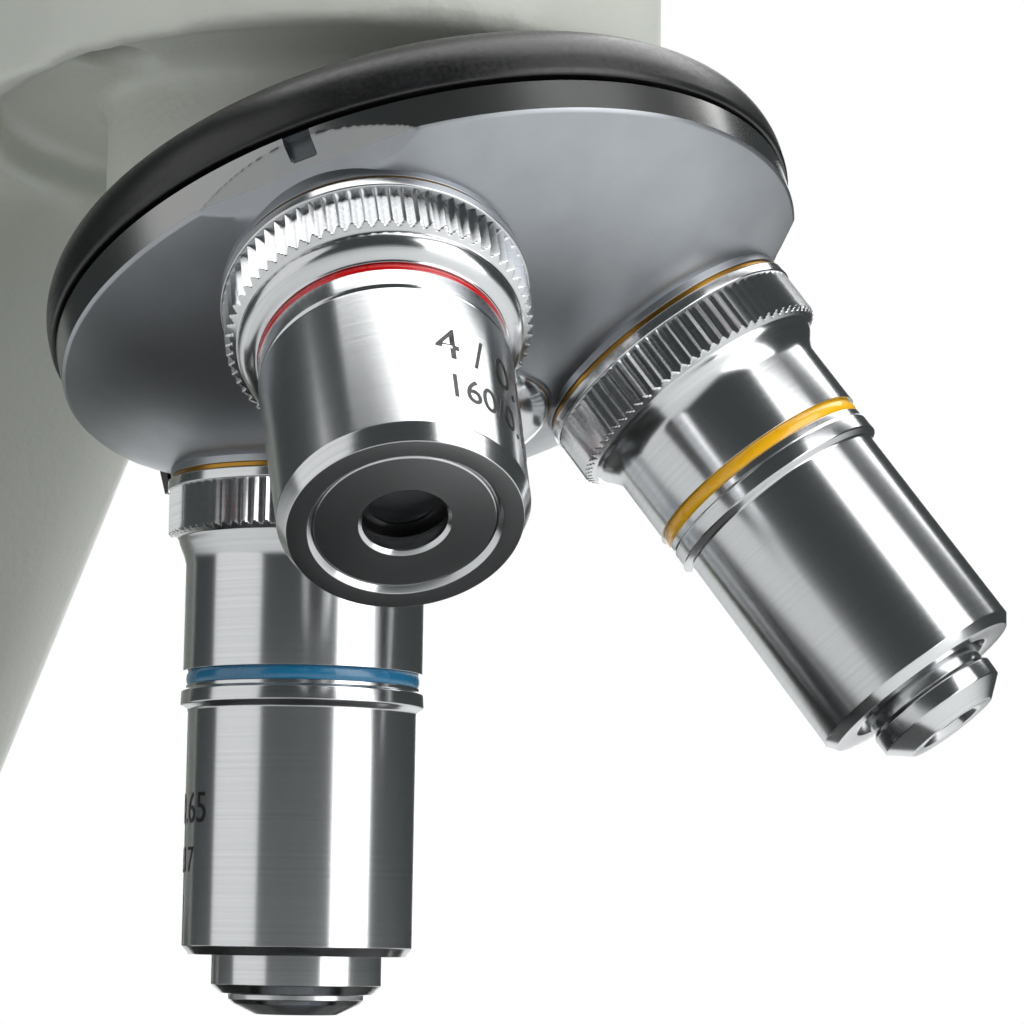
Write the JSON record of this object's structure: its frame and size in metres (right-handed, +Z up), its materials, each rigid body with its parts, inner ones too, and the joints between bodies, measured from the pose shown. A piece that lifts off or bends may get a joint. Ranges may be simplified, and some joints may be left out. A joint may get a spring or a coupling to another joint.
{
  "type": "monocular microscope",
  "caption": "Monocular student microscope with a turning nosepiece, three objectives, coaxial focusing, a lit base and a turning inclined head.",
  "frame": {"origin": "middle of the base's footprint, on the surface it stands on", "axes": "+Z up, -Y towards the open side of the stage, +Y towards the arm's back, +X right seen from the front"},
  "size_m": [0.153, 0.206, 0.3535],
  "materials": {
    "enamel": "fine orange-peel enamel on a casting",
    "black_paint": "satin black",
    "turned_steel": "fine turned, satin chromium plated",
    "satin_chrome": "satin chromium plate",
    "steel": "bright turned",
    "brass": "machined",
    "black_plastic": "fine moulded texture",
    "rubber": "matt",
    "glass": "polished, coated",
    "circuit_board": "solder mask",
    "red_enamel": "gloss enamel",
    "yellow_enamel": "gloss enamel",
    "blue_enamel": "gloss enamel"
  },
  "bodies": {
    "stand": {"base_casting": "enamel", "lamp_pedestal": "enamel", "base_cover_plate": "black_paint", "foot_front_left": "rubber", "foot_front_right": "rubber", "foot_rear_left": "rubber", "foot_rear_right": "rubber", "lamp_collar": "black_plastic", "lamp_lens": "glass", "led_board": "circuit_board", "driver_board": "circuit_board", "switch_frame": "black_plastic", "power_inlet": "black_plastic", "arm_casting": "enamel", "focus_guide": "black_paint", "nosepiece_ring": "black_paint", "turret_pivot_screw": "steel", "click_spring": "steel"},
    "rocker": {"rocker_switch": "black_plastic"},
    "brightness_control": {"brightness_knob": "black_plastic"},
    "lock_screw": {"head_lock_screw": "steel"},
    "coarse_drive": {"coarse_shaft": "steel", "coarse_knob_left": "black_plastic", "coarse_knob_right": "black_plastic"},
    "fine_drive": {"fine_shaft": "steel", "fine_knob_left": "black_plastic", "fine_knob_right": "black_plastic"},
    "carriage": {"focus_carriage": "satin_chrome", "focus_rack": "brass"},
    "stage": {"stage_bracket": "black_paint", "stage_plate": "black_paint", "condenser_mount": "black_paint", "condenser_lens": "glass", "diaphragm_pin": "steel"},
    "clip_left": {"stage_clip_left": "steel"},
    "clip_right": {"stage_clip_right": "steel"},
    "diaphragm": {"diaphragm_disc": "black_paint"},
    "turret": {"turret_plate": "satin_chrome", "objective_4x_barrel": "turned_steel", "objective_4x_ring": "red_enamel", "objective_4x_front_cell": "turned_steel", "objective_4x_lens": "glass", "objective_10x_barrel": "turned_steel", "objective_10x_ring": "yellow_enamel", "objective_10x_nose": "turned_steel", "objective_10x_lens": "glass", "objective_40x_barrel": "turned_steel", "objective_40x_ring": "blue_enamel", "objective_40x_spring": "steel"},
    "spring_nose": {"objective_40x_nose": "turned_steel", "objective_40x_lens": "glass"},
    "head": {"head_housing": "enamel", "head_prism": "glass", "eyepiece_tube": "satin_chrome"},
    "eyepiece": {"eyepiece_body": "black_plastic", "eye_lens": "glass", "eyepiece_field_lens": "glass"}
  },
  "joints": [
    {"name": "rocker_tilt", "type": "hinge", "parent": "stand", "child": "rocker", "pos_m": [-0.015, 0.096, 0.025], "axis": [1, 0, 0], "range_deg": [0, 16]},
    {"name": "brightness_turn", "type": "hinge", "parent": "stand", "child": "brightness_control", "pos_m": [0.065, -0.003, 0.024], "axis": [1, 0, 0], "range_deg": [0, 270]},
    {"name": "lock_screw_turn", "type": "hinge", "parent": "stand", "child": "lock_screw", "pos_m": [0.03, -0.033, 0.2554], "axis": [1, 0, 0], "range_deg": [0, 360]},
    {"name": "coarse_focus", "type": "hinge", "parent": "stand", "child": "coarse_drive", "pos_m": [0, 0.057, 0.088], "axis": [-1, 0, 0], "range_deg": [-105, 147]},
    {"name": "carriage_slide", "type": "slide", "parent": "stand", "child": "carriage", "axis": [0, 0, 1], "range_m": [-0.011, 0.0154]},
    {"name": "fine_focus", "type": "hinge", "parent": "stand", "child": "fine_drive", "pos_m": [0, 0.057, 0.088], "axis": [-1, 0, 0], "range_deg": [-720, 720]},
    {"name": "stage_fine_slide", "type": "slide", "parent": "carriage", "child": "stage", "axis": [0, 0, 1], "range_m": [-0.001, 0.001]},
    {"name": "clip_left_turn", "type": "hinge", "parent": "stage", "child": "clip_left", "pos_m": [-0.042, 0.001, 0.123], "axis": [0, 0, 1], "range_deg": [-30, 20]},
    {"name": "clip_right_turn", "type": "hinge", "parent": "stage", "child": "clip_right", "pos_m": [0.042, 0.001, 0.123], "axis": [0, 0, 1], "range_deg": [-20, 30]},
    {"name": "diaphragm_turn", "type": "hinge", "parent": "stage", "child": "diaphragm", "pos_m": [0, -0.054, 0.1], "axis": [0, 0, 1], "continuous": true},
    {"name": "turret_turn", "type": "hinge", "parent": "stand", "child": "turret", "pos_m": [0, -0.05036, 0.19084], "axis": [0, 0.3665, 0.9304], "continuous": true},
    {"name": "nose_spring", "type": "slide", "parent": "turret", "child": "spring_nose", "axis": [0, 0, 1], "range_m": [0, 0.0025], "stiffness_N_per_m": 400, "springref_m": -0.001, "deforming": ["objective_40x_spring"]},
    {"name": "head_turn", "type": "hinge", "parent": "stand", "child": "head", "pos_m": [0, -0.033, 0.26], "axis": [0, 0, 1], "continuous": true},
    {"name": "eyepiece_lift", "type": "slide", "parent": "head", "child": "eyepiece", "axis": [0, 0.7071, 0.7071], "range_m": [0, 0.03]}
  ],
  "couplings": [
    {"joint": "carriage_slide", "follows": "coarse_focus", "m_per_rad": 0.006},
    {"joint": "stage_fine_slide", "follows": "fine_focus", "m_per_rad": 0.000079577}
  ]
}
